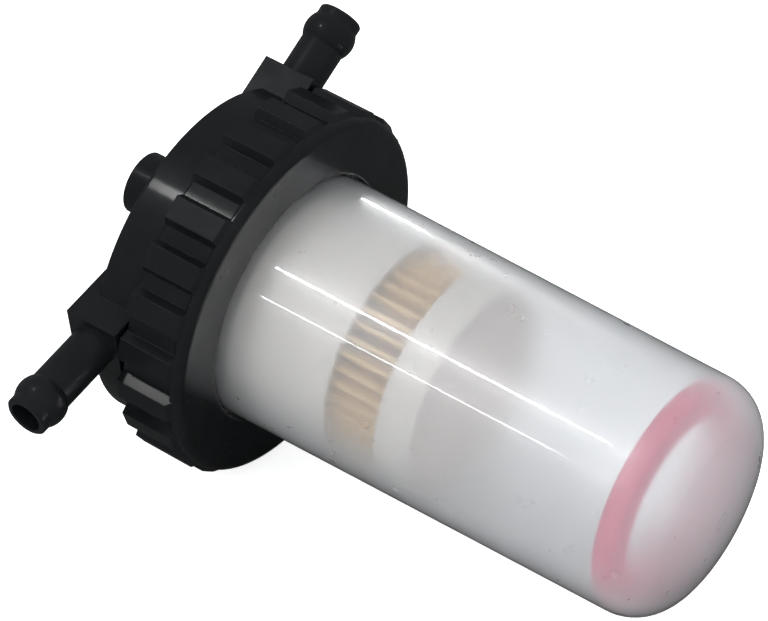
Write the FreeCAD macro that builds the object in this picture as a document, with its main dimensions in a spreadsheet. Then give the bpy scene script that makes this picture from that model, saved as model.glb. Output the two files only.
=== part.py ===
"""Fuel filter with a hanging see-through bowl, a screw ring and a two-nipple head.

Millimetres, +Z up.  The origin is midway between the two mounting bosses, in
the plane of their faces.  The filter hangs below it along -Z.
"""
import FreeCAD, Part
import math
import os
import re
import Sketcher
from FreeCAD import Placement, Rotation, Vector

# Driving dimensions: alias, value in millimetres (or degrees, or a count), meaning.
SIZES = [
    ("bowl_radius", 25.0, "bowl, outside at the ring"),
    ("bowl_length", 95.4, "bowl below the ring"),
    ("bowl_taper", 1.0, "how much narrower the bowl's closed end is, on the radius"),
    ("bowl_wall", 2.1, "bowl, wall"),
    ("bowl_corner", 9.4, "bowl, outer corner radius of the closed end"),
    ("bowl_inner_corner", 9.0, "bowl, inner corner radius of the closed end"),
    ("bowl_dome", 60.0, "bowl, radius of the closed end's dome"),
    ("bowl_rim", 2.6, "bowl rim above the flange"),
    ("flange_width", 5.8, "bowl flange, beyond the bowl's outside"),
    ("flange_thickness", 3.0, "bowl flange, thickness"),
    ("flange_play", 0.3, "flange to thread foot, on the radius"),
    ("seat_gap", 0.05, "gap between the ring lip and the flange"),
    ("face_gap", 0.1, "gap between the neck and the flange"),
    ("seal_section", 1.15, "bowl seal, section radius"),
    ("seal_play", 0.1, "bowl seal, free gap in its rebate"),
    ("neck_play", 0.5, "gap between the bowl rim and the neck"),
    ("neck_bevel", 0.4, "bevel at the neck's end"),
    ("thread_depth", 1.3, "height of the thread"),
    ("thread_pitch", 3.0, "rise of the thread in one turn"),
    ("thread_root", 1.7, "width of the thread ridge at its foot"),
    ("thread_crest", 0.8, "width of the thread ridge at its crest"),
    ("thread_lead", 1.3, "first thread, centre above the neck's end"),
    ("thread_gap", 0.3, "clearance all round the thread"),
    ("thread_bite", 0.2, "thread ridge, how deep its foot runs into the neck"),
    ("thread_entry", 0.8, "bevel where the neck enters the ring"),
    ("head_overhang", 1.2, "head disc beyond the thread crests"),
    ("head_roof", 3.5, "wall over the chambers inside the head disc"),
    ("head_edge", 0.9, "rounding of the head disc's rim edges"),
    ("boss_height", 10.0, "mounting bosses above the disc"),
    ("boss_wall", 2.2, "mounting bosses, wall round the insert"),
    ("boss_spacing", 32.0, "mounting bosses, centre to centre"),
    ("boss_bite", 0.5, "mounting bosses, how deep they run into the disc"),
    ("insert_radius", 4.0, "brass insert, outside"),
    ("insert_length", 8.8, "brass insert, length"),
    ("insert_bore", 2.5, "brass insert, threaded hole radius"),
    ("insert_groove", 0.7, "brass insert, radius of the locking groove"),
    ("insert_seat", 0.4, "brass insert, free depth of the boss below it"),
    ("nipple_angle", 10.2, "each nipple swept towards -Y from the X axis, degrees"),
    ("nipple_inset", 1.1, "where the nipple axes meet, inside the collar's wall"),
    ("nipple_radius", 4.4, "nipple tube, outside"),
    ("nipple_wall", 1.2, "nipple tube, wall"),
    ("nipple_cover", 0.2, "disc's top face above the passages"),
    ("nipple_margin", 1.0, "disc's underside below the nipple tubes"),
    ("nipple_bite", 2.0, "nipple tube, how deep it runs into its block"),
    ("bulb_height", 0.8, "hose-retaining bulb above the tube"),
    ("bulb_length", 5.2, "hose-retaining bulb, along the nipple"),
    ("tip_length", 2.0, "plain tip of the nipple ahead of the bulb"),
    ("tip_edge", 0.35, "bevel at the nipple's mouth"),
    ("inlet_length", 20.6, "inlet nipple, beyond its block"),
    ("outlet_length", 15.1, "outlet nipple, beyond its block"),
    ("block_margin", 1.5, "square block beyond the tube, at each side and above"),
    ("block_standout", 0.1, "square block's face beyond the disc radius"),
    ("inlet_setback", 3.0, "inlet block's inner end, clear of the collar"),
    ("collar_radius", 14.0, "outlet collar inside the neck, outside"),
    ("collar_wall", 2.5, "outlet collar, wall"),
    ("collar_length", 12.7, "outlet collar below the disc"),
    ("collar_lead", 0.6, "lead-in bevel at the collar's end"),
    ("ring_gap", 0.4, "gap between the disc and the screw ring"),
    ("ring_height", 13.8, "screw ring, height"),
    ("ring_wall", 3.5, "screw ring, wall between the thread and the ribs"),
    ("shoulder_step", 0.9, "smooth shoulder beyond the floor between the ribs"),
    ("shoulder_height", 2.1, "smooth shoulder, height"),
    ("shoulder_round", 1.8, "smooth shoulder, rounding"),
    ("shoulder_slope", 0.72, "height of the slope from the shoulder to the floor"),
    ("ring_edge", 0.3, "bevel at the ring's top edge"),
    ("rib_count", 24, "grip ribs round the ring"),
    ("rib_height", 1.8, "grip rib above the floor between the ribs"),
    ("rib_top", 4.6, "grip rib, width of its flat top"),
    ("rib_foot", 6.6, "grip rib, width at its foot"),
    ("rib_overlap", 0.5, "grip rib, run over the shoulder"),
    ("rib_bite", 0.4, "grip rib, how deep its foot runs into the floor"),
    ("rib_bevel", 0.9, "bevel on the lower end of each rib"),
    ("lip_thickness", 3.0, "ring lip under the bowl flange"),
    ("lip_play", 0.5, "gap between the lip and the bowl"),
    ("lip_edge", 0.7, "rounding of the lip's lower edge"),
    ("float_play", 0.5, "float ring to bowl wall"),
    ("float_rest", 0.15, "float ring to the bowl's corner where it rests"),
    ("float_width", 5.6, "float ring, radial width"),
    ("float_height", 4.6, "float ring, height"),
    ("float_edge", 1.2, "float ring, edge rounding"),
    ("element_play", 2.1, "element caps to the bowl's inside"),
    ("cap_wall", 1.3, "element caps, wall of the skirts"),
    ("cap_plate", 2.0, "element caps, plate thickness"),
    ("cap_edge", 0.8, "element caps, edge rounding"),
    ("cap_gap", 0.5, "top cap plate below the collar's end"),
    ("top_skirt", 21.0, "top cap skirt below its plate"),
    ("media_window", 11.5, "paper seen between the two caps"),
    ("bottom_skirt", 6.0, "bottom cap skirt above its plate"),
    ("sleeve_play", 0.08, "top cap sleeve, running clearance on the collar"),
    ("sleeve_wall", 3.3, "top cap sleeve, wall"),
    ("sleeve_gap", 4.7, "top cap sleeve's end below the disc's underside"),
    ("ring_seal_section", 0.8, "collar seal, section radius"),
    ("ring_seal_touch", 0.05, "collar seal to the collar"),
    ("ring_seal_slack", 0.1, "collar seal, gap to each side of its groove"),
    ("paper_play", 0.3, "pleat tips to the inside of the skirts"),
    ("paper_thickness", 0.5, "pleated paper, thickness"),
    ("paper_gap", 0.5, "pleat roots to the centre tube"),
    ("pleat_count", 40, "pleats in the paper"),
    ("pleat_tip", 0.35, "pleated paper, half the width of a pleat's tip"),
    ("pleat_fold", 1.5, "pleated paper, depth of the fold at a tip"),
    ("potting_thickness", 1.6, "bonding layer between paper and cap"),
    ("core_radius", 9.4, "centre tube, outside"),
    ("core_wall", 1.0, "centre tube, wall"),
    ("core_hole", 1.6, "centre tube, hole radius"),
    ("core_holes_round", 8, "centre tube, holes in one row"),
    ("core_rows", 5, "centre tube, rows of holes"),
    ("cut_past", 1.0, "how far a cutting outline runs past the wall it cuts"),
]

doc = FreeCAD.newDocument("FuelFilter")
sheet = doc.addObject("Spreadsheet::Sheet", "Sizes")
for row, (alias, value, meaning) in enumerate(SIZES, start=1):
    sheet.set(f"A{row}", meaning)
    sheet.set(f"B{row}", str(value))
    sheet.setAlias(f"B{row}", alias)
doc.recompute()

ALIASES = {alias for alias, value, meaning in SIZES}
NODES = []

# Sizes and heights that follow from the driving dimensions.
BOWL_INSIDE = "(bowl_radius - bowl_wall)"
BOWL_END_RADIUS = "(bowl_radius - bowl_taper)"
NECK_BORE = "(bowl_radius + neck_play)"
FLANGE_RADIUS = "(bowl_radius + flange_width)"
THREAD_FOOT = f"({FLANGE_RADIUS} + flange_play)"
THREAD_RADIUS = f"({THREAD_FOOT} + thread_depth)"
HEAD_RADIUS = f"({THREAD_RADIUS} + head_overhang)"
RING_FLOOR = f"({THREAD_RADIUS} + ring_wall)"
SHOULDER_RADIUS = f"({RING_FLOOR} + shoulder_step)"
RIB_RADIUS = f"({RING_FLOOR} + rib_height)"
BORE_RADIUS = "(nipple_radius - nipple_wall)"
NIPPLE_DEPTH = f"({BORE_RADIUS} + nipple_cover)"
NIPPLE_UNDER = "(nipple_radius + nipple_margin)"
NIPPLE_MEETING = "(collar_radius - collar_wall - nipple_inset)"
BLOCK_FACE = f"({HEAD_RADIUS} + block_standout)"
CAP_RADIUS = f"({BOWL_INSIDE} - element_play)"
PAPER_RADIUS = f"({CAP_RADIUS} - cap_wall - paper_play)"
PAPER_ROOT = "(core_radius + paper_gap)"

DISC_TOP = "(-boss_height)"
DISC_BOTTOM = f"({DISC_TOP} - {NIPPLE_DEPTH} - {NIPPLE_UNDER})"
DISC_ROOF = f"({DISC_TOP} - head_roof)"
NIPPLE_Z = f"({DISC_TOP} - {NIPPLE_DEPTH})"
RING_TOP = f"({DISC_BOTTOM} - ring_gap)"
RING_BOTTOM = f"({RING_TOP} - ring_height)"
FLANGE_BOTTOM = f"({RING_BOTTOM} + lip_thickness + seat_gap)"
FLANGE_TOP = f"({FLANGE_BOTTOM} + flange_thickness)"
NECK_END = f"({FLANGE_TOP} + face_gap)"
COLLAR_END = f"({DISC_BOTTOM} - collar_length)"
BOWL_END = f"({RING_BOTTOM} - bowl_length)"
CAP_TOP = f"({COLLAR_END} - cap_gap)"
CAP_UNDER = f"({CAP_TOP} - cap_plate)"
BOTTOM_CAP_FLOOR = f"({CAP_UNDER} - top_skirt - media_window - bottom_skirt)"


def bound(expression):
    """The expression with every alias pointing at the sheet."""
    def point(found):
        word = found.group()
        return f"Sizes.{word}" if word in ALIASES else word
    return re.sub(r"[a-z_]+", point, expression)


def size(expression):
    """The expression's present value as a number."""
    return float(sheet.evalExpression(bound(expression)))


def bind(thing, prop, expression):
    """Ties one property of an object to the sheet."""
    thing.setExpression(prop, bound(expression))


def keep(thing, label, height="0"):
    """Names a finished sub-part and sets it at its height in the part's frame."""
    thing.Label = label
    bind(thing, "Placement.Base.z", height)
    NODES.append(thing)
    return thing


def new_body(name):
    """An empty PartDesign body."""
    return doc.addObject("PartDesign::Body", name)


def origin_feature(body, role):
    """One of the body's own origin planes or axes."""
    return next(item for item in body.Origin.OriginFeatures if item.Role == role)


def new_sketch(body, name, plane="XZ_Plane"):
    """A sketch attached to one of the body's origin planes."""
    sketch = body.newObject("Sketcher::SketchObject", name)
    sketch.AttachmentSupport = [(origin_feature(body, plane), "")]
    sketch.MapMode = "FlatFace"
    return sketch


def pin_point(sketch, geometry, end, across, up):
    """Holds one end of a line or arc at a bound position."""
    for kind, expression in (("DistanceX", across), ("DistanceY", up)):
        if expression is None:
            continue
        if expression == "0":
            axis = -2 if kind == "DistanceX" else -1
            sketch.addConstraint(Sketcher.Constraint("PointOnObject", geometry, end, axis))
            continue
        index = sketch.addConstraint(
            Sketcher.Constraint(kind, -1, 1, geometry, end, size(expression)))
        bind(sketch, f"Constraints[{index}]", expression)


def outline(sketch, steps):
    """Draws a closed outline.

    Each step is a corner (across, up), or a corner that an arc leads to:
    (across, up, centre_across, centre_up, turn), where turn is "ccw" or "cw".
    """
    def corner(step):
        return Vector(size(step[0]), size(step[1]), 0)

    count = len(steps)
    for index in range(count):
        start = corner(steps[index])
        step = steps[(index + 1) % count]
        finish = corner(step)
        if len(step) == 2:
            sketch.addGeometry(Part.LineSegment(start, finish), False)
            continue
        centre = Vector(size(step[2]), size(step[3]), 0)
        radius = (start - centre).Length
        first = math.atan2(start.y - centre.y, start.x - centre.x)
        last = math.atan2(finish.y - centre.y, finish.x - centre.x)
        if step[4] == "cw":
            first, last = last, first
        circle = Part.Circle(centre, Vector(0, 0, 1), radius)
        sketch.addGeometry(Part.ArcOfCircle(circle, first, last), False)

    def ends(index):
        """Sketcher's numbers for the start and the finish of one edge."""
        step = steps[(index + 1) % count]
        return (2, 1) if len(step) == 5 and step[4] == "cw" else (1, 2)

    for index in range(count):
        following = (index + 1) % count
        sketch.addConstraint(Sketcher.Constraint(
            "Coincident", index, ends(index)[1], following, ends(following)[0]))
    for index in range(count):
        step = steps[(index + 1) % count]
        across, up = step[0], step[1]
        if len(step) == 5:
            pin_point(sketch, index, 3, step[2], step[3])
            sideways = abs(size(step[0]) - size(step[2]))
            upright = abs(size(step[1]) - size(step[3]))
            across, up = (None, up) if sideways > upright else (across, None)
        pin_point(sketch, index, ends(index)[1], across, up)


def swept_round(body, name, steps, axis="V_Axis", kind="PartDesign::Revolution", frame=None):
    """Turns an outline a full circle about an axis of its own sketch."""
    sketch = new_sketch(body, name + "Sketch")
    if frame:
        frame(sketch)
    outline(sketch, steps)
    feature = body.newObject(kind, name)
    feature.Profile = sketch
    feature.ReferenceAxis = (sketch, [axis])
    feature.Angle = 360
    doc.recompute()
    return feature


def round_body(name, label, steps, height="0"):
    """A sub-part that is one outline turned about Z."""
    body = new_body(name)
    swept_round(body, name + "Round", steps)
    return keep(body, label, height)


def circle_sketch(body, name, circles, height):
    """Circles on a level plane: each is (across, up, radius)."""
    sketch = new_sketch(body, name, "XY_Plane")
    bind(sketch, "AttachmentOffset.Base.z", height)
    for index, (across, up, radius) in enumerate(circles):
        centre = Vector(size(across), size(up), 0)
        sketch.addGeometry(Part.Circle(centre, Vector(0, 0, 1), size(radius)), False)
        pin_point(sketch, index, 3, across, up)
        held = sketch.addConstraint(Sketcher.Constraint("Radius", index, size(radius)))
        bind(sketch, f"Constraints[{held}]", radius)
    return sketch


def pad_or_pocket(body, kind, name, sketch, length, backwards=False):
    """A straight pad or pocket of bound length."""
    feature = body.newObject(kind, name)
    feature.Profile = sketch
    bind(feature, "Length", length)
    feature.Reversed = backwards
    doc.recompute()
    return feature


def polar_copies(body, name, originals, count):
    """Repeats features evenly about the body's Z axis."""
    pattern = body.newObject("PartDesign::PolarPattern", name)
    pattern.Originals = originals
    pattern.Axis = (origin_feature(body, "Z_Axis"), [""])
    pattern.Angle = 360
    bind(pattern, "Occurrences", count)
    body.Tip = pattern
    doc.recompute()
    return pattern


def helix(body, kind, name, foot, height, depth_from, depth_to, spread):
    """A trapezoid thread: foot is the height of its first turn's centre."""
    half_root = f"(thread_root / 2 + {spread})"
    half_crest = f"(thread_crest / 2 + {spread})"
    sketch = new_sketch(body, name + "Sketch")
    outline(sketch, [
        (depth_from, f"{foot} - {half_root}"),
        (depth_to, f"{foot} - {half_crest}"),
        (depth_to, f"{foot} + {half_crest}"),
        (depth_from, f"{foot} + {half_root}"),
    ])
    thread = body.newObject(kind, name)
    thread.Profile = sketch
    thread.ReferenceAxis = (sketch, ["V_Axis"])
    thread.Mode = "pitch-height-angle"
    bind(thread, "Pitch", "thread_pitch")
    bind(thread, "Height", height)
    thread.Angle = 0
    thread.LeftHanded = False
    doc.recompute()
    return thread


def make_head():
    """Disc, bosses, nipples, threaded neck and outlet collar, moulded in one."""
    body = new_body("FilterHead")
    rebate_top = f"({FLANGE_TOP} + 2 * seal_section + seal_play)"
    rebate_radius = f"({NECK_BORE} + 2 * seal_section + seal_play)"
    collar_inside = "(collar_radius - collar_wall)"
    swept_round(body, "HeadRound", [
        ("0", DISC_TOP),
        ("0", DISC_ROOF),
        (collar_inside, DISC_ROOF),
        (collar_inside, COLLAR_END),
        ("collar_radius - collar_lead", COLLAR_END),
        ("collar_radius", f"{COLLAR_END} + 2 * collar_lead"),
        ("collar_radius", DISC_ROOF),
        (NECK_BORE, DISC_ROOF),
        (NECK_BORE, rebate_top),
        (rebate_radius, rebate_top),
        (rebate_radius, NECK_END),
        (f"{THREAD_FOOT} - neck_bevel", NECK_END),
        (THREAD_FOOT, f"{NECK_END} + neck_bevel"),
        (THREAD_FOOT, DISC_BOTTOM),
        (f"{HEAD_RADIUS} - head_edge", DISC_BOTTOM),
        (HEAD_RADIUS, f"{DISC_BOTTOM} + head_edge",
         f"{HEAD_RADIUS} - head_edge", f"{DISC_BOTTOM} + head_edge", "ccw"),
        (HEAD_RADIUS, f"{DISC_TOP} - head_edge"),
        (f"{HEAD_RADIUS} - head_edge", DISC_TOP,
         f"{HEAD_RADIUS} - head_edge", f"{DISC_TOP} - head_edge", "ccw"),
    ])
    foot = f"({NECK_END} + thread_lead)"
    helix(body, "PartDesign::AdditiveHelix", "NeckThread", foot,
          f"{DISC_BOTTOM} - thread_lead - {foot}",
          f"{THREAD_FOOT} - thread_bite", THREAD_RADIUS, "0")
    bosses = [("0", "boss_spacing / 2", "insert_radius + boss_wall"),
              ("0", "-boss_spacing / 2", "insert_radius + boss_wall")]
    sketch = circle_sketch(body, "BossSketch", bosses, f"{DISC_TOP} - boss_bite")
    pad_or_pocket(body, "PartDesign::Pad", "Bosses", sketch, "boss_height + boss_bite")
    add_nipple(body, "Inlet", "180 + nipple_angle", "(collar_radius + inlet_setback)",
               "inlet_length")
    add_nipple(body, "Outlet", "-nipple_angle", "0", "outlet_length")
    holes = [(across, up, "insert_radius") for across, up, radius in bosses]
    sketch = circle_sketch(body, "InsertHoleSketch", holes, "0")
    pad_or_pocket(body, "PartDesign::Pocket", "InsertHoles", sketch, "insert_length + insert_seat")
    return keep(body, "filter_head")


def add_nipple(body, side, angle, inner, length):
    """One hose nipple with its square block and its passage."""
    def frame(sketch):
        """The sketch's own X axis runs outwards along the nipple."""
        sketch.AttachmentOffset = Placement(Vector(), Rotation(Vector(0, 1, 0), 1))
        bind(sketch, "AttachmentOffset.Base.y", NIPPLE_Z)
        bind(sketch, "AttachmentOffset.Base.z", NIPPLE_MEETING)
        bind(sketch, "AttachmentOffset.Rotation.Angle", angle)

    sketch = new_sketch(body, side + "BlockSketch")
    frame(sketch)
    rise = "nipple_radius + block_margin"
    outline(sketch, [
        (inner, f"-{NIPPLE_UNDER}"),
        (BLOCK_FACE, f"-{NIPPLE_UNDER}"),
        (BLOCK_FACE, rise),
        (inner, rise),
    ])
    block = body.newObject("PartDesign::Pad", side + "Block")
    block.Profile = sketch
    block.SideType = "Symmetric"
    bind(block, "Length", "2 * (nipple_radius + block_margin)")
    doc.recompute()

    reach = f"({BLOCK_FACE} + {length})"
    root = f"({BLOCK_FACE} - nipple_bite)"
    bulb_end = f"({reach} - tip_length)"
    bulb_start = f"({bulb_end} - bulb_length)"
    bulb_round = "((bulb_length^2 / 4 + bulb_height^2) / (2 * bulb_height))"
    swept_round(body, side + "Nipple", [
        (root, "0"),
        (reach, "0"),
        (reach, "nipple_radius - tip_edge"),
        (f"{reach} - tip_edge", "nipple_radius"),
        (bulb_end, "nipple_radius"),
        (bulb_start, "nipple_radius",
         f"{bulb_end} - bulb_length / 2", f"nipple_radius + bulb_height - {bulb_round}", "ccw"),
        (root, "nipple_radius"),
    ], axis="H_Axis", frame=frame)
    swept_round(body, side + "Passage", [
        (f"{inner} - cut_past", "0"),
        (f"{reach} + cut_past", "0"),
        (f"{reach} + cut_past", BORE_RADIUS),
        (f"{inner} - cut_past", BORE_RADIUS),
    ], axis="H_Axis", kind="PartDesign::Groove", frame=frame)


def make_inserts():
    """Two brass inserts moulded into the bosses, one group of equal fasteners."""
    sleeves = []
    for side, sign in (("Back", ""), ("Front", "-")):
        outer = doc.addObject("Part::Cylinder", side + "InsertOutside")
        bind(outer, "Radius", "insert_radius")
        bore = doc.addObject("Part::Cylinder", side + "InsertBore")
        bind(bore, "Radius", "insert_bore")
        groove = doc.addObject("Part::Torus", side + "InsertGroove")
        bind(groove, "Radius1", "insert_radius + insert_groove / 3")
        bind(groove, "Radius2", "insert_groove")
        bind(groove, "Placement.Base.z", "-insert_length / 2")
        for solid in (outer, bore):
            bind(solid, "Height", "insert_length")
            bind(solid, "Placement.Base.z", "-insert_length")
        for solid in (outer, bore, groove):
            bind(solid, "Placement.Base.y", f"{sign}boss_spacing / 2")
        tools = doc.addObject("Part::MultiFuse", side + "InsertCuts")
        tools.Shapes = [bore, groove]
        sleeve = doc.addObject("Part::Cut", side + "Insert")
        sleeve.Base = outer
        sleeve.Tool = tools
        sleeves.append(sleeve)
    group = doc.addObject("Part::Compound", "MountInserts")
    group.Links = sleeves
    return keep(group, "mount_inserts")


def make_ring():
    """Screw ring: smooth shoulder, grip ribs, inner lip and female thread."""
    body = new_body("RetainingRing")
    hole = "(bowl_radius + lip_play)"
    crest = f"({THREAD_FOOT} + thread_gap)"
    shoulder_inner = f"{SHOULDER_RADIUS} - shoulder_round"
    swept_round(body, "RingRound", [
        (f"{hole} + lip_edge", "0", f"{hole} + lip_edge", "lip_edge", "ccw"),
        (shoulder_inner, "0"),
        (SHOULDER_RADIUS, "shoulder_round", shoulder_inner, "shoulder_round", "ccw"),
        (SHOULDER_RADIUS, "shoulder_height"),
        (RING_FLOOR, "shoulder_height + shoulder_slope"),
        (RING_FLOOR, "ring_height - ring_edge"),
        (f"{RING_FLOOR} - ring_edge", "ring_height"),
        (f"{crest} + thread_entry", "ring_height"),
        (crest, "ring_height - thread_entry"),
        (crest, "lip_thickness"),
        (hole, "lip_thickness"),
        (hole, "lip_edge"),
    ])
    sketch = new_sketch(body, "RibSketch", "XY_Plane")
    rib_start = "(shoulder_height - rib_overlap)"
    bind(sketch, "AttachmentOffset.Base.z", rib_start)
    foot = f"({RING_FLOOR} - rib_bite)"
    outline(sketch, [
        (foot, "-rib_foot / 2"),
        (RIB_RADIUS, "-rib_top / 2"),
        (RIB_RADIUS, "rib_top / 2"),
        (foot, "rib_foot / 2"),
    ])
    rib = pad_or_pocket(body, "PartDesign::Pad", "Rib", sketch, f"ring_height - {rib_start}")
    polar_copies(body, "Ribs", [rib], "rib_count")
    beyond = f"({RIB_RADIUS} + cut_past)"
    swept_round(body, "RibBevel", [
        (SHOULDER_RADIUS, rib_start),
        (beyond, rib_start),
        (beyond, f"{rib_start} + rib_bevel * ({beyond} - {SHOULDER_RADIUS})"
                 f" / ({RIB_RADIUS} - {SHOULDER_RADIUS})"),
    ], kind="PartDesign::Groove")
    groove_foot = (f"(lip_thickness + seat_gap + flange_thickness + face_gap"
                   f" + thread_lead - thread_pitch)")
    helix(body, "PartDesign::SubtractiveHelix", "RingThread", groove_foot,
          f"ring_height + thread_pitch / 2 - {groove_foot}",
          THREAD_FOOT, f"{THREAD_RADIUS} + thread_gap", "thread_gap")
    return keep(body, "retaining_ring", RING_BOTTOM)


def dome_corner(end_radius, corner, dome):
    """Where a corner arc meets a dome: corner centre and shared point.

    Both are given as (across, up from the dome's centre).
    """
    across = f"({end_radius} - {corner})"
    down = f"sqrt(({dome} - {corner})^2 - {across}^2)"
    reach = f"({dome} / ({dome} - {corner}))"
    return (across, f"(-{down})"), (f"({across} * {reach})", f"(-{down} * {reach})")


def make_bowl():
    """See-through bowl: flange, slightly tapered wall and domed closed end."""
    centre = f"({BOWL_END} + bowl_dome)"
    inside_end = f"({BOWL_END_RADIUS} - bowl_wall)"
    inner_dome = "(bowl_dome - bowl_wall)"
    corner, meet = dome_corner(BOWL_END_RADIUS, "bowl_corner", "bowl_dome")
    inner_corner, inner_meet = dome_corner(inside_end, "bowl_inner_corner", inner_dome)
    return round_body("Bowl", "bowl", [
        ("0", BOWL_END),
        (meet[0], f"{centre} + {meet[1]}", "0", centre, "ccw"),
        (BOWL_END_RADIUS, f"{centre} + {corner[1]}",
         corner[0], f"{centre} + {corner[1]}", "ccw"),
        ("bowl_radius", RING_BOTTOM),
        ("bowl_radius", FLANGE_BOTTOM),
        (FLANGE_RADIUS, FLANGE_BOTTOM),
        (FLANGE_RADIUS, FLANGE_TOP),
        ("bowl_radius", FLANGE_TOP),
        ("bowl_radius", f"{FLANGE_TOP} + bowl_rim"),
        (BOWL_INSIDE, f"{FLANGE_TOP} + bowl_rim"),
        (BOWL_INSIDE, RING_BOTTOM),
        (inside_end, f"{centre} + {inner_corner[1]}"),
        (inner_meet[0], f"{centre} + {inner_meet[1]}",
         inner_corner[0], f"{centre} + {inner_corner[1]}", "cw"),
        ("0", f"{BOWL_END} + bowl_wall", "0", centre, "cw"),
    ])


def rounded_band(inside, outside, low, high, edge):
    """The outline of a band with its four edges rounded alike."""
    return [
        (f"{inside} + {edge}", low, f"{inside} + {edge}", f"{low} + {edge}", "ccw"),
        (f"{outside} - {edge}", low),
        (outside, f"{low} + {edge}", f"{outside} - {edge}", f"{low} + {edge}", "ccw"),
        (outside, f"{high} - {edge}"),
        (f"{outside} - {edge}", high, f"{outside} - {edge}", f"{high} - {edge}", "ccw"),
        (f"{inside} + {edge}", high),
        (inside, f"{high} - {edge}", f"{inside} + {edge}", f"{high} - {edge}", "ccw"),
        (inside, f"{low} + {edge}"),
    ]


def make_float():
    """Float ring, lying where the bowl's inner corner stops it."""
    outside = f"({BOWL_END_RADIUS} - bowl_wall - float_play)"
    corner, meet = dome_corner(f"({BOWL_END_RADIUS} - bowl_wall)", "bowl_inner_corner",
                               "(bowl_dome - bowl_wall)")
    apart = "(bowl_inner_corner - float_edge - float_rest)"
    across = f"({outside} - float_edge - {corner[0]})"
    low = f"({BOWL_END} + bowl_dome + {corner[1]} - sqrt({apart}^2 - {across}^2) - float_edge)"
    steps = rounded_band(f"({outside} - float_width)", outside, "0", "float_height", "float_edge")
    return round_body("FloatRing", "float_ring", steps, low)


def make_seal(name, label, ring_radius, section, height):
    """A plain O-ring."""
    seal = doc.addObject("Part::Torus", name)
    bind(seal, "Radius1", ring_radius)
    bind(seal, "Radius2", section)
    return keep(seal, label, height)


def make_top_cap():
    """Upper end cap: sleeve for the collar, plate, and a deep skirt."""
    sleeve_inside = "(collar_radius + sleeve_play)"
    sleeve_outside = f"({sleeve_inside} + sleeve_wall)"
    sleeve_top = "(collar_length + cap_gap - sleeve_gap)"
    groove = "(collar_radius + ring_seal_touch + 2 * ring_seal_section)"
    groove_low = f"({sleeve_top} / 2 - ring_seal_section - ring_seal_slack)"
    groove_high = f"({sleeve_top} / 2 + ring_seal_section + ring_seal_slack)"
    skirt_inside = f"({CAP_RADIUS} - cap_wall)"
    return round_body("ElementTopCap", "element_top_cap", [
        ("core_radius - core_wall", "-cap_plate"),
        (skirt_inside, "-cap_plate"),
        (skirt_inside, "-cap_plate - top_skirt"),
        (CAP_RADIUS, "-cap_plate - top_skirt"),
        (CAP_RADIUS, "-cap_edge"),
        (f"{CAP_RADIUS} - cap_edge", "0", f"{CAP_RADIUS} - cap_edge", "-cap_edge", "ccw"),
        (sleeve_outside, "0"),
        (sleeve_outside, sleeve_top),
        (sleeve_inside, sleeve_top),
        (sleeve_inside, groove_high),
        (groove, groove_high),
        (groove, groove_low),
        (sleeve_inside, groove_low),
        (sleeve_inside, "0"),
        ("core_radius - core_wall", "0"),
    ], CAP_TOP)


def make_bottom_cap():
    """Lower end cap: a closed dish with a short skirt."""
    skirt_inside = f"({CAP_RADIUS} - cap_wall)"
    return round_body("ElementBottomCap", "element_bottom_cap", [
        ("0", "-cap_plate"),
        (f"{CAP_RADIUS} - cap_edge", "-cap_plate"),
        (CAP_RADIUS, "cap_edge - cap_plate",
         f"{CAP_RADIUS} - cap_edge", "cap_edge - cap_plate", "ccw"),
        (CAP_RADIUS, "bottom_skirt"),
        (skirt_inside, "bottom_skirt"),
        (skirt_inside, "0"),
        ("0", "0"),
    ], BOTTOM_CAP_FLOOR)


def make_potting():
    """Bonding layers that hold the paper in the two caps."""
    for name, label, height in (
            ("TopPotting", "top_potting", f"{CAP_UNDER} - potting_thickness"),
            ("BottomPotting", "bottom_potting", BOTTOM_CAP_FLOOR)):
        round_body(name, label, [
            ("core_radius", "0"),
            (f"{CAP_RADIUS} - cap_wall", "0"),
            (f"{CAP_RADIUS} - cap_wall", "potting_thickness"),
            ("core_radius", "potting_thickness"),
        ], height)


def make_paper():
    """Pleated paper: one fold, padded and repeated round the axis."""
    body = new_body("PleatedPaper")
    sketch = new_sketch(body, "PleatSketch", "XY_Plane")
    half_step = "180 / pleat_count"
    root_far = f"({PAPER_ROOT} + paper_thickness)"
    root_side = f"({PAPER_ROOT} * sin({half_step}) - paper_thickness)"
    outline(sketch, [
        (f"{PAPER_ROOT} * cos({half_step})", f"-{PAPER_ROOT} * sin({half_step})"),
        (f"{root_far} * cos({half_step})", f"-{root_far} * sin({half_step})"),
        (PAPER_RADIUS, "-pleat_tip"),
        (PAPER_RADIUS, "pleat_tip"),
        (f"{root_far} * cos({half_step})", f"{root_far} * sin({half_step})"),
        (f"{PAPER_ROOT} * cos({half_step})", f"{PAPER_ROOT} * sin({half_step})"),
        (f"{PAPER_ROOT} * cos({half_step})", root_side),
        (f"{PAPER_RADIUS} - pleat_fold", "0"),
        (f"{PAPER_ROOT} * cos({half_step})", f"-{root_side}"),
    ])
    length = "top_skirt + media_window + bottom_skirt - 2 * potting_thickness"
    pleat = pad_or_pocket(body, "PartDesign::Pad", "Pleat", sketch, length)
    polar_copies(body, "Pleats", [pleat], "pleat_count")
    return keep(body, "pleated_paper", f"{BOTTOM_CAP_FLOOR} + potting_thickness")


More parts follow.
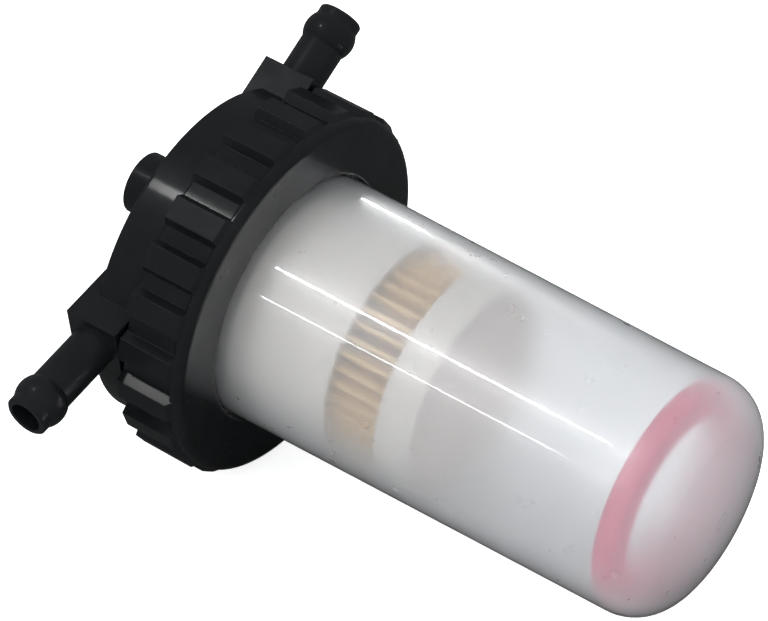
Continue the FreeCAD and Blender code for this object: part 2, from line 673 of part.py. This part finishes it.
def make_core():
    """Perforated centre tube that carries the paper."""
    body = new_body("ElementCore")
    length = "(top_skirt + media_window + bottom_skirt)"
    swept_round(body, "CoreTube", [
        ("core_radius - core_wall", "0"),
        ("core_radius", "0"),
        ("core_radius", length),
        ("core_radius - core_wall", length),
    ])
    rows = int(size("core_rows"))
    holes = []
    for row in range(rows):
        sketch = new_sketch(body, f"HoleSketch{row}", "YZ_Plane")
        height = f"{length} * {row + 1} / (core_rows + 1)"
        centre = Vector(0, size(height), 0)
        sketch.addGeometry(Part.Circle(centre, Vector(0, 0, 1), size("core_hole")), False)
        pin_point(sketch, 0, 3, "0", height)
        held = sketch.addConstraint(Sketcher.Constraint("Radius", 0, size("core_hole")))
        bind(sketch, f"Constraints[{held}]", "core_hole")
        hole = pad_or_pocket(body, "PartDesign::Pocket", f"Hole{row}", sketch,
                             "core_radius + cut_past", backwards=True)
        holes.append(hole)
    polar_copies(body, "Holes", holes, "core_holes_round")
    return keep(body, "element_core", BOTTOM_CAP_FLOOR)


def check_all():
    """Stops on any failed object or faulty shape."""
    for item in doc.Objects:
        if "Invalid" in item.State or "Error" in item.State:
            raise RuntimeError(f"{item.Label} failed: {item.State}")
    for node in NODES:
        if node.Shape.isNull() or not node.Shape.isValid():
            raise RuntimeError(f"{node.Label} has no valid shape")


make_head()
make_inserts()
make_ring()
make_bowl()
make_seal("BowlSeal", "bowl_seal", "bowl_radius + seal_play + seal_section",
          "seal_section", f"{FLANGE_TOP} + seal_section")
make_float()
make_top_cap()
make_seal("CollarSeal", "collar_seal", "collar_radius + ring_seal_touch + ring_seal_section",
          "ring_seal_section", f"{CAP_TOP} + (collar_length + cap_gap - sleeve_gap) / 2")
make_bottom_cap()
make_potting()
make_paper()
make_core()
doc.recompute()
check_all()

os.makedirs("parts", exist_ok=True)
for node in NODES:
    node.Shape.exportStep(os.path.join("parts", node.Label + ".step"))
    box = node.Shape.BoundBox
    print(f"{node.Label:20s} {node.Shape.Volume / 1000:8.3f} cm3"
          f"  z {box.ZMin:8.2f} to {box.ZMax:7.2f}  radius {box.XMax:6.2f}")
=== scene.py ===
"""Looks of the fuel filter: materials, studio and camera.

Metres in the part's own frame.  +Z runs up the bowl's axis, out of the boss faces.
"""

import math

import bpy
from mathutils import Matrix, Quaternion, Vector

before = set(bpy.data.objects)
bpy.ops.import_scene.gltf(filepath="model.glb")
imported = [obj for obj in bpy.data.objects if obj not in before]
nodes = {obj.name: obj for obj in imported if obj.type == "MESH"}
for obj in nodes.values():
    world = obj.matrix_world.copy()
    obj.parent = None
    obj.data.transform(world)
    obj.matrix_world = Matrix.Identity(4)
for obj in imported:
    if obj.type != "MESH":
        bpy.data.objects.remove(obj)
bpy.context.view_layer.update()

MM = 0.001
FULL_TURN = 2 * math.pi

# Fine details that the materials carry.
GATE_RADIUS = 4 * MM
GATE_LEVEL = -120 * MM
PLEAT_ROOT = 10 * MM
PLEAT_DEPTH = 9 * MM
EMBOSS_PITCH = 1.6 * MM
INSERT_OFFSET = 16 * MM
INSERT_BORE = 2.7 * MM
THREAD_PITCH = 1.0 * MM
TURNING_PITCH = 0.18 * MM

# Camera: where it stands round the filter, and what it looks at.
VIEW_AZIMUTH = -21.65
VIEW_ELEVATION = -24.19
VIEW_ROLL = -62.36
VIEW_TARGET = Vector((7.5, 4.0, -47.0)) * MM
VIEW_DISTANCE = 0.797
LENS = 197.25
SENSOR = 36.0

# The table top that the filter lies on, as a plane.
FLOOR_NORMAL = Vector((0.472, -0.868, 0.152)).normalized()
FLOOR_OFFSET = -42.2 * MM
FLOOR_SIZE = 6.0

# Brightness of the backdrop as seen, of the room as it lights the filter, and of the floor's glow.
BACKDROP_LIGHT = 1.1
ROOM_LIGHT = 1.34
ROOM_GLOSS = 0.10
FLOOR_GLOSS = 0.05
FLOOR_THROUGH = 0.90
FLOOR_GLOW = 0.75

# Lamps are placed by the direction they light from: degrees round +Z from +X, then up.
LAMP_DISTANCE = 0.62


# ---------------------------------------------------------------- node helpers

class Shader:
    """A Principled material with short ways to add nodes; noise scales are waves in a metre."""

    def __init__(self, name, **values):
        self.material = bpy.data.materials.new(name)
        self.material.use_nodes = True
        self.tree = self.material.node_tree
        self.bsdf = self.tree.nodes["Principled BSDF"]
        self.output = self.tree.nodes["Material Output"]
        self.place = self.add("ShaderNodeTexCoord").outputs["Object"]
        for socket, value in values.items():
            self.bsdf.inputs[socket.replace("_", " ")].default_value = value

    def add(self, kind, **properties):
        node = self.tree.nodes.new(kind)
        for key, value in properties.items():
            setattr(node, key, value)
        return node

    def link(self, start, end):
        self.tree.links.new(start, end)

    def feed(self, socket, value):
        """Links an output, or sets a plain value."""
        if hasattr(value, "is_output"):
            self.link(value, socket)
        else:
            socket.default_value = value

    def math(self, operation, *values, clamp=False):
        node = self.add("ShaderNodeMath", operation=operation, use_clamp=clamp)
        for socket, value in zip(node.inputs, values):
            self.feed(socket, value)
        return node.outputs[0]

    def noise(self, scale, detail=3.0, roughness=0.5, stretch=None):
        node = self.add("ShaderNodeTexNoise")
        node.inputs["Scale"].default_value = scale
        node.inputs["Detail"].default_value = detail
        node.inputs["Roughness"].default_value = roughness
        vector = self.place
        if stretch:
            mapping = self.add("ShaderNodeMapping")
            mapping.inputs["Scale"].default_value = stretch
            self.link(vector, mapping.inputs["Vector"])
            vector = mapping.outputs[0]
        self.link(vector, node.inputs["Vector"])
        return node.outputs["Fac"]

    def ramp(self, value, stops):
        """stops: (place, (r, g, b)) or (place, grey)."""
        node = self.add("ShaderNodeValToRGB")
        elements = node.color_ramp.elements
        while len(elements) < len(stops):
            elements.new(0.5)
        for element, (place, colour) in zip(elements, stops):
            element.position = place
            if isinstance(colour, (int, float)):
                colour = (colour, colour, colour)
            element.color = (*colour, 1)
        self.link(value, node.inputs[0])
        return node.outputs[0]

    def mix(self, factor, first, second):
        node = self.add("ShaderNodeMix", data_type="RGBA")
        self.feed(node.inputs[0], factor)
        for socket, value in ((node.inputs[6], first), (node.inputs[7], second)):
            if isinstance(value, tuple):
                value = (*value, 1)
            self.feed(socket, value)
        return node.outputs[2]

    def split(self):
        node = self.add("ShaderNodeSeparateXYZ")
        self.link(self.place, node.inputs[0])
        return node.outputs

    def radius(self):
        """Distance from the bowl's axis."""
        x, y, _ = self.split()
        return self.math("SQRT", self.math("ADD", self.math("MULTIPLY", x, x),
                                           self.math("MULTIPLY", y, y)))

    def bump(self, height, distance, strength=1.0, under=None):
        node = self.add("ShaderNodeBump")
        node.inputs["Strength"].default_value = strength
        node.inputs["Distance"].default_value = distance
        self.link(height, node.inputs["Height"])
        if under is not None:
            self.link(under, node.inputs["Normal"])
        return node.outputs[0]

    def soft_edges(self, radius):
        """Normals that round the sharp edges a little, as moulding does."""
        node = self.add("ShaderNodeBevel", samples=6)
        node.inputs["Radius"].default_value = radius
        return node.outputs[0]

    def worn(self, rounded):
        """High where an edge turns: how far the rounded normal leaves the true one."""
        geometry = self.add("ShaderNodeNewGeometry")
        dot = self.add("ShaderNodeVectorMath", operation="DOT_PRODUCT")
        self.link(rounded, dot.inputs[0])
        self.link(geometry.outputs["Normal"], dot.inputs[1])
        return self.math("SUBTRACT", 1.0, dot.outputs["Value"], clamp=True)

    def colour(self, value):
        self.feed(self.bsdf.inputs["Base Color"], value)

    def roughness(self, value):
        self.feed(self.bsdf.inputs["Roughness"], value)

    def normal(self, value):
        self.feed(self.bsdf.inputs["Normal"], value)


def black_nylon(name, tone, gloss, edge):
    """Glass-filled nylon: near black, semi-gloss, fine mould texture, paler edges."""
    s = Shader(name, Specular_IOR_Level=0.5, Coat_Weight=0.5, Coat_Roughness=0.10)
    r, g, b = tone
    cloud = s.noise(90, 4, 0.6)
    speck = s.noise(5200, 2, 0.7)
    body = s.ramp(cloud, [(0.3, (r * 0.8, g * 0.8, b * 0.8)), (0.7, (r * 1.25, g * 1.25, b * 1.25))])
    fibre = s.ramp(speck, [(0.62, 0.0), (0.78, 1.0)])
    body = s.mix(s.math("MULTIPLY", fibre, 0.05), body, (0.09, 0.095, 0.10))
    rounded = s.soft_edges(edge)
    rub = s.math("MULTIPLY", s.worn(rounded), s.ramp(s.noise(700, 3), [(0.35, 0.2), (0.7, 1.0)]))
    body = s.mix(s.math("MULTIPLY", rub, 0.55, clamp=True), body, (0.10, 0.105, 0.11))
    s.colour(body)
    s.roughness(s.ramp(s.noise(260, 5, 0.65), [(0.25, gloss - 0.05), (0.75, gloss + 0.09)]))
    grain = s.bump(s.noise(2600, 3, 0.6), 0.03 * MM, 0.2, rounded)
    ripple = s.bump(s.noise(120, 2), 0.25 * MM, 0.22, grain)
    s.normal(ripple)
    return s.material


def frosted_bowl():
    """Natural nylon: a little milky, blurred to see through, polished outside, gate mark below."""
    s = Shader("bowl_natural_nylon", IOR=1.5, Transmission_Weight=0.90,
               Coat_Weight=1.0, Coat_Roughness=0.03, Coat_IOR=1.5)
    cloud = s.noise(45, 3, 0.55)
    s.colour(s.ramp(cloud, [(0.25, (0.93, 0.94, 0.95)), (0.75, (0.965, 0.972, 0.98))]))
    s.roughness(s.ramp(s.noise(160, 4, 0.6), [(0.2, 0.26), (0.8, 0.32)]))
    draw = s.bump(s.noise(260, 2, 0.5, (1, 1, 0.05)), 0.012 * MM, 0.15)
    _, _, z = s.split()
    gate = s.ramp(s.math("DIVIDE", s.radius(), GATE_RADIUS), [(0.38, 1.0), (0.46, 0.0)])
    gate = s.math("MULTIPLY", gate, s.math("LESS_THAN", z, GATE_LEVEL))
    s.normal(s.bump(gate, 0.25 * MM, 0.8, draw))
    return s.material


def red_float():
    """Moulded float: red, semi-gloss, faint mottling."""
    s = Shader("float_red_plastic", Specular_IOR_Level=0.5)
    s.colour(s.ramp(s.noise(160, 4, 0.6), [(0.25, (0.74, 0.08, 0.20)), (0.75, (0.84, 0.13, 0.27))]))
    s.roughness(s.ramp(s.noise(600, 3), [(0.3, 0.30), (0.7, 0.42)]))
    s.normal(s.bump(s.noise(2400, 2), 0.04 * MM, 0.3, s.soft_edges(0.2 * MM)))
    return s.material


def white_cap(name, warm):
    """Moulded end caps and centre tube: warm white, matt, slightly mottled."""
    s = Shader(name, Specular_IOR_Level=0.4, Subsurface_Weight=0.08, Subsurface_Scale=0.001)
    low = tuple(c * 0.94 for c in warm)
    s.colour(s.ramp(s.noise(120, 4, 0.6), [(0.3, low), (0.7, warm)]))
    s.roughness(s.ramp(s.noise(500, 3), [(0.3, 0.42), (0.7, 0.56)]))
    s.normal(s.bump(s.noise(1900, 3), 0.05 * MM, 0.35, s.soft_edges(0.2 * MM)))
    return s.material


def filter_paper():
    """Resin-treated paper: tan, fibrous, faint embossed lines, with painted shade that darkens it
    towards the pleat roots.
    """
    s = Shader("filter_paper", Specular_IOR_Level=0.15, Sheen_Weight=0.15, Sheen_Roughness=0.6)
    fibre = s.noise(1500, 5, 0.7, (1, 1, 0.35))
    tan = s.ramp(fibre, [(0.3, (0.86, 0.57, 0.27)), (0.7, (0.97, 0.72, 0.39))])
    # Painted shade: the paper's colour runs from a darker tan at the pleat roots to full tan at the
    # outer folds, standing in for the shadow inside the folds.
    painted_root_shade = s.math("DIVIDE", s.math("SUBTRACT", s.radius(), PLEAT_ROOT), PLEAT_DEPTH, clamp=True)
    s.colour(s.mix(painted_root_shade, (0.66, 0.42, 0.18), tan))
    s.roughness(s.ramp(s.noise(800, 4), [(0.3, 0.78), (0.7, 0.92)]))
    _, _, z = s.split()
    emboss = s.math("SINE", s.math("MULTIPLY", z, FULL_TURN / EMBOSS_PITCH))
    fine = s.bump(fibre, 0.04 * MM, 0.35)
    s.normal(s.bump(emboss, 0.05 * MM, 0.15, fine))
    return s.material


def cream_resin():
    """Potting between paper and caps: cured, uneven, half glossy."""
    s = Shader("potting_resin", Specular_IOR_Level=0.5, Coat_Weight=0.3, Coat_Roughness=0.2)
    s.colour(s.ramp(s.noise(220, 4), [(0.3, (0.66, 0.60, 0.46)), (0.7, (0.80, 0.75, 0.62))]))
    s.roughness(s.ramp(s.noise(300, 3), [(0.3, 0.35), (0.7, 0.55)]))
    s.normal(s.bump(s.noise(350, 3), 0.2 * MM, 0.4))
    return s.material


def seal_rubber():
    """Nitrile seals: black, matt, fine grain."""
    s = Shader("nitrile_rubber", Specular_IOR_Level=0.35)
    s.colour(s.ramp(s.noise(700, 4), [(0.3, (0.010, 0.010, 0.011)), (0.7, (0.022, 0.022, 0.023))]))
    s.roughness(s.ramp(s.noise(900, 3), [(0.3, 0.55), (0.7, 0.75)]))
    s.normal(s.bump(s.noise(3000, 2), 0.03 * MM, 0.4))
    return s.material


def turned_brass():
    """Brass inserts: turning rings on their faces, thread in their bores."""
    s = Shader("turned_brass", Metallic=1.0)
    s.colour(s.ramp(s.noise(420, 4), [(0.3, (0.56, 0.37, 0.12)), (0.7, (0.78, 0.57, 0.25))]))
    s.roughness(s.ramp(s.noise(1600, 3), [(0.3, 0.22), (0.7, 0.42)]))
    x, y, _ = s.split()
    side = s.math("SUBTRACT", s.math("ABSOLUTE", y), INSERT_OFFSET)
    away = s.math("SQRT", s.math("ADD", s.math("MULTIPLY", x, x), s.math("MULTIPLY", side, side)))
    rings = s.math("SINE", s.math("MULTIPLY", away, FULL_TURN / TURNING_PITCH))
    faces = s.bump(rings, 0.01 * MM, 0.5, s.soft_edges(0.12 * MM))
    _, _, z = s.split()
    climb = s.math("ADD", s.math("MULTIPLY", z, FULL_TURN / THREAD_PITCH),
                   s.math("ARCTAN2", side, x))
    thread = s.math("MULTIPLY", s.math("SINE", climb), s.math("LESS_THAN", away, INSERT_BORE))
    s.normal(s.bump(thread, 0.3 * MM, 1.0, faces))
    return s.material


def paint(node, material):
    """Gives a CAD node one material."""
    node.data.materials.clear()
    node.data.materials.append(material)


# ---------------------------------------------------------------- materials on the nodes

HEAD_BLACK = black_nylon("head_black_nylon", (0.0055, 0.0068, 0.0078), 0.34, 0.25 * MM)
RING_BLACK = black_nylon("ring_black_nylon", (0.0052, 0.0064, 0.0074), 0.30, 0.30 * MM)
BOWL = frosted_bowl()
CAP_WHITE = white_cap("cap_warm_white", (0.82, 0.77, 0.71))
CORE_WHITE = white_cap("core_white", (0.84, 0.83, 0.80))
RUBBER = seal_rubber()
POTTING = cream_resin()

LOOKS = {
    "filter_head": HEAD_BLACK,
    "retaining_ring": RING_BLACK,
    "mount_inserts": turned_brass(),
    "bowl": BOWL,
    "bowl_seal": RUBBER,
    "collar_seal": RUBBER,
    "float_ring": red_float(),
    "element_top_cap": CAP_WHITE,
    "element_bottom_cap": CAP_WHITE,
    "element_core": CORE_WHITE,
    "top_potting": POTTING,
    "bottom_potting": POTTING,
    "pleated_paper": filter_paper(),
}
for name, material in LOOKS.items():
    paint(nodes[name], material)


# ---------------------------------------------------------------- studio

def lamp(name, azimuth, elevation, aim, width, height, power, distance=LAMP_DISTANCE):
    """A soft rectangular lamp, width across and height up, in watts."""
    a, e = math.radians(azimuth), math.radians(elevation)
    away = Vector((math.cos(a) * math.cos(e), math.sin(a) * math.cos(e), math.sin(e)))
    data = bpy.data.lights.new(name, "AREA")
    data.shape = "RECTANGLE"
    data.size, data.size_y = width, height
    data.energy = power
    lamp_object = bpy.data.objects.new(name, data)
    bpy.context.scene.collection.objects.link(lamp_object)
    lamp_object.location = aim + away * distance
    lamp_object.rotation_mode = "QUATERNION"
    lamp_object.rotation_quaternion = (-away).to_track_quat("-Z", "Y")
    return lamp_object


def floor():
    """A plain pale sheet, seen only from the side that the filter lies on."""
    mesh = bpy.data.meshes.new("floor")
    half = FLOOR_SIZE / 2
    mesh.from_pydata([(-half, -half, 0), (half, -half, 0), (half, half, 0), (-half, half, 0)],
                     [], [(0, 1, 2, 3)])
    sheet = bpy.data.objects.new("floor", mesh)
    bpy.context.scene.collection.objects.link(sheet)
    sheet.rotation_mode = "QUATERNION"
    sheet.rotation_quaternion = FLOOR_NORMAL.to_track_quat("Z", "Y")
    sheet.location = FLOOR_NORMAL * FLOOR_OFFSET
    s = Shader("pale_floor", Roughness=0.9, Specular_IOR_Level=0.1)
    s.bsdf.inputs["Emission Color"].default_value = (1, 1, 1, 1)
    path = s.add("ShaderNodeLightPath").outputs
    mirrored = s.math("MULTIPLY", path["Is Glossy Ray"],
                      s.math("SUBTRACT", 1.0, path["Is Transmission Ray"]))
    pale = s.ramp(s.noise(6, 2), [(0.3, 0.78), (0.7, 0.82)])
    pale = s.mix(path["Is Transmission Ray"], pale, (FLOOR_THROUGH,) * 3)
    s.colour(s.mix(mirrored, pale, (FLOOR_GLOSS,) * 3))
    s.link(s.math("MULTIPLY", path["Is Camera Ray"], FLOOR_GLOW), s.bsdf.inputs["Emission Strength"])
    clear = s.add("ShaderNodeBsdfTransparent")
    choose = s.add("ShaderNodeMixShader")
    geometry = s.add("ShaderNodeNewGeometry")
    s.link(geometry.outputs["Backfacing"], choose.inputs[0])
    s.link(s.bsdf.outputs[0], choose.inputs[1])
    s.link(clear.outputs[0], choose.inputs[2])
    s.link(choose.outputs[0], s.output.inputs[0])
    sheet.data.materials.append(s.material)


def surroundings():
    """A white backdrop, with dimmer even light from the room."""
    world = bpy.data.worlds.new("studio")
    bpy.context.scene.world = world
    world.use_nodes = True
    tree = world.node_tree
    back = tree.nodes["Background"]
    back.inputs["Color"].default_value = (0.96, 0.98, 1.0, 1)
    path = tree.nodes.new("ShaderNodeLightPath")
    level = ROOM_LIGHT
    for role, strength in (("Is Glossy Ray", ROOM_GLOSS), ("Is Transmission Ray", ROOM_LIGHT),
                           ("Is Camera Ray", BACKDROP_LIGHT)):
        choose = tree.nodes.new("ShaderNodeMix")
        tree.links.new(path.outputs[role], choose.inputs[0])
        if hasattr(level, "is_output"):
            tree.links.new(level, choose.inputs[2])
        else:
            choose.inputs[2].default_value = level
        choose.inputs[3].default_value = strength
        level = choose.outputs[0]
    tree.links.new(level, back.inputs["Strength"])


def camera():
    a, e = math.radians(VIEW_AZIMUTH), math.radians(VIEW_ELEVATION)
    back = Vector((math.sin(a) * math.cos(e), -math.cos(a) * math.cos(e), math.sin(e)))
    data = bpy.data.cameras.new("camera")
    data.lens = LENS
    data.sensor_width = SENSOR
    data.clip_start = 0.05
    data.clip_end = 50
    cam = bpy.data.objects.new("camera", data)
    bpy.context.scene.collection.objects.link(cam)
    cam.location = VIEW_TARGET + back * VIEW_DISTANCE
    cam.rotation_mode = "QUATERNION"
    level = (-back).to_track_quat("-Z", "Y")
    cam.rotation_quaternion = level @ Quaternion((0, 0, 1), math.radians(VIEW_ROLL))
    bpy.context.scene.camera = cam


def light_only(lamps, names):
    """Lets lamps light nothing but the named nodes."""
    lit = bpy.data.collections.new("lit_" + names[0])
    for name in names:
        lit.objects.link(nodes[name])
    for each in lamps:
        each.light_linking.receiver_collection = lit


BOWL_MIDDLE = Vector((0, 0, -75)) * MM
BOWL_LOWER = Vector((0, 0, -85)) * MM
BOWL_SIDE = Vector((16, -19, -44)) * MM
RING_MIDDLE = Vector((0, 0, -26)) * MM
floor()
surroundings()
light_only([
    lamp("strip_long", -124, 24, BOWL_MIDDLE, 0.008, 0.16, 0.09),
    lamp("strip_bright", -97, 22.5, BOWL_LOWER, 0.016, 0.13, 0.30),
    lamp("strip_back", 14, 25, BOWL_SIDE, 0.03, 0.05, 0.25),
], ["bowl"])
light_only([lamp("window", -90, 26, RING_MIDDLE, 0.06, 0.03, 0.09)], ["filter_head", "retaining_ring"])
key = lamp("key", -105, 25, BOWL_MIDDLE, 1.2, 1.2, 5, distance=1.3)
key.visible_glossy = False
camera()
bpy.context.scene.view_settings.view_transform = "Standard"
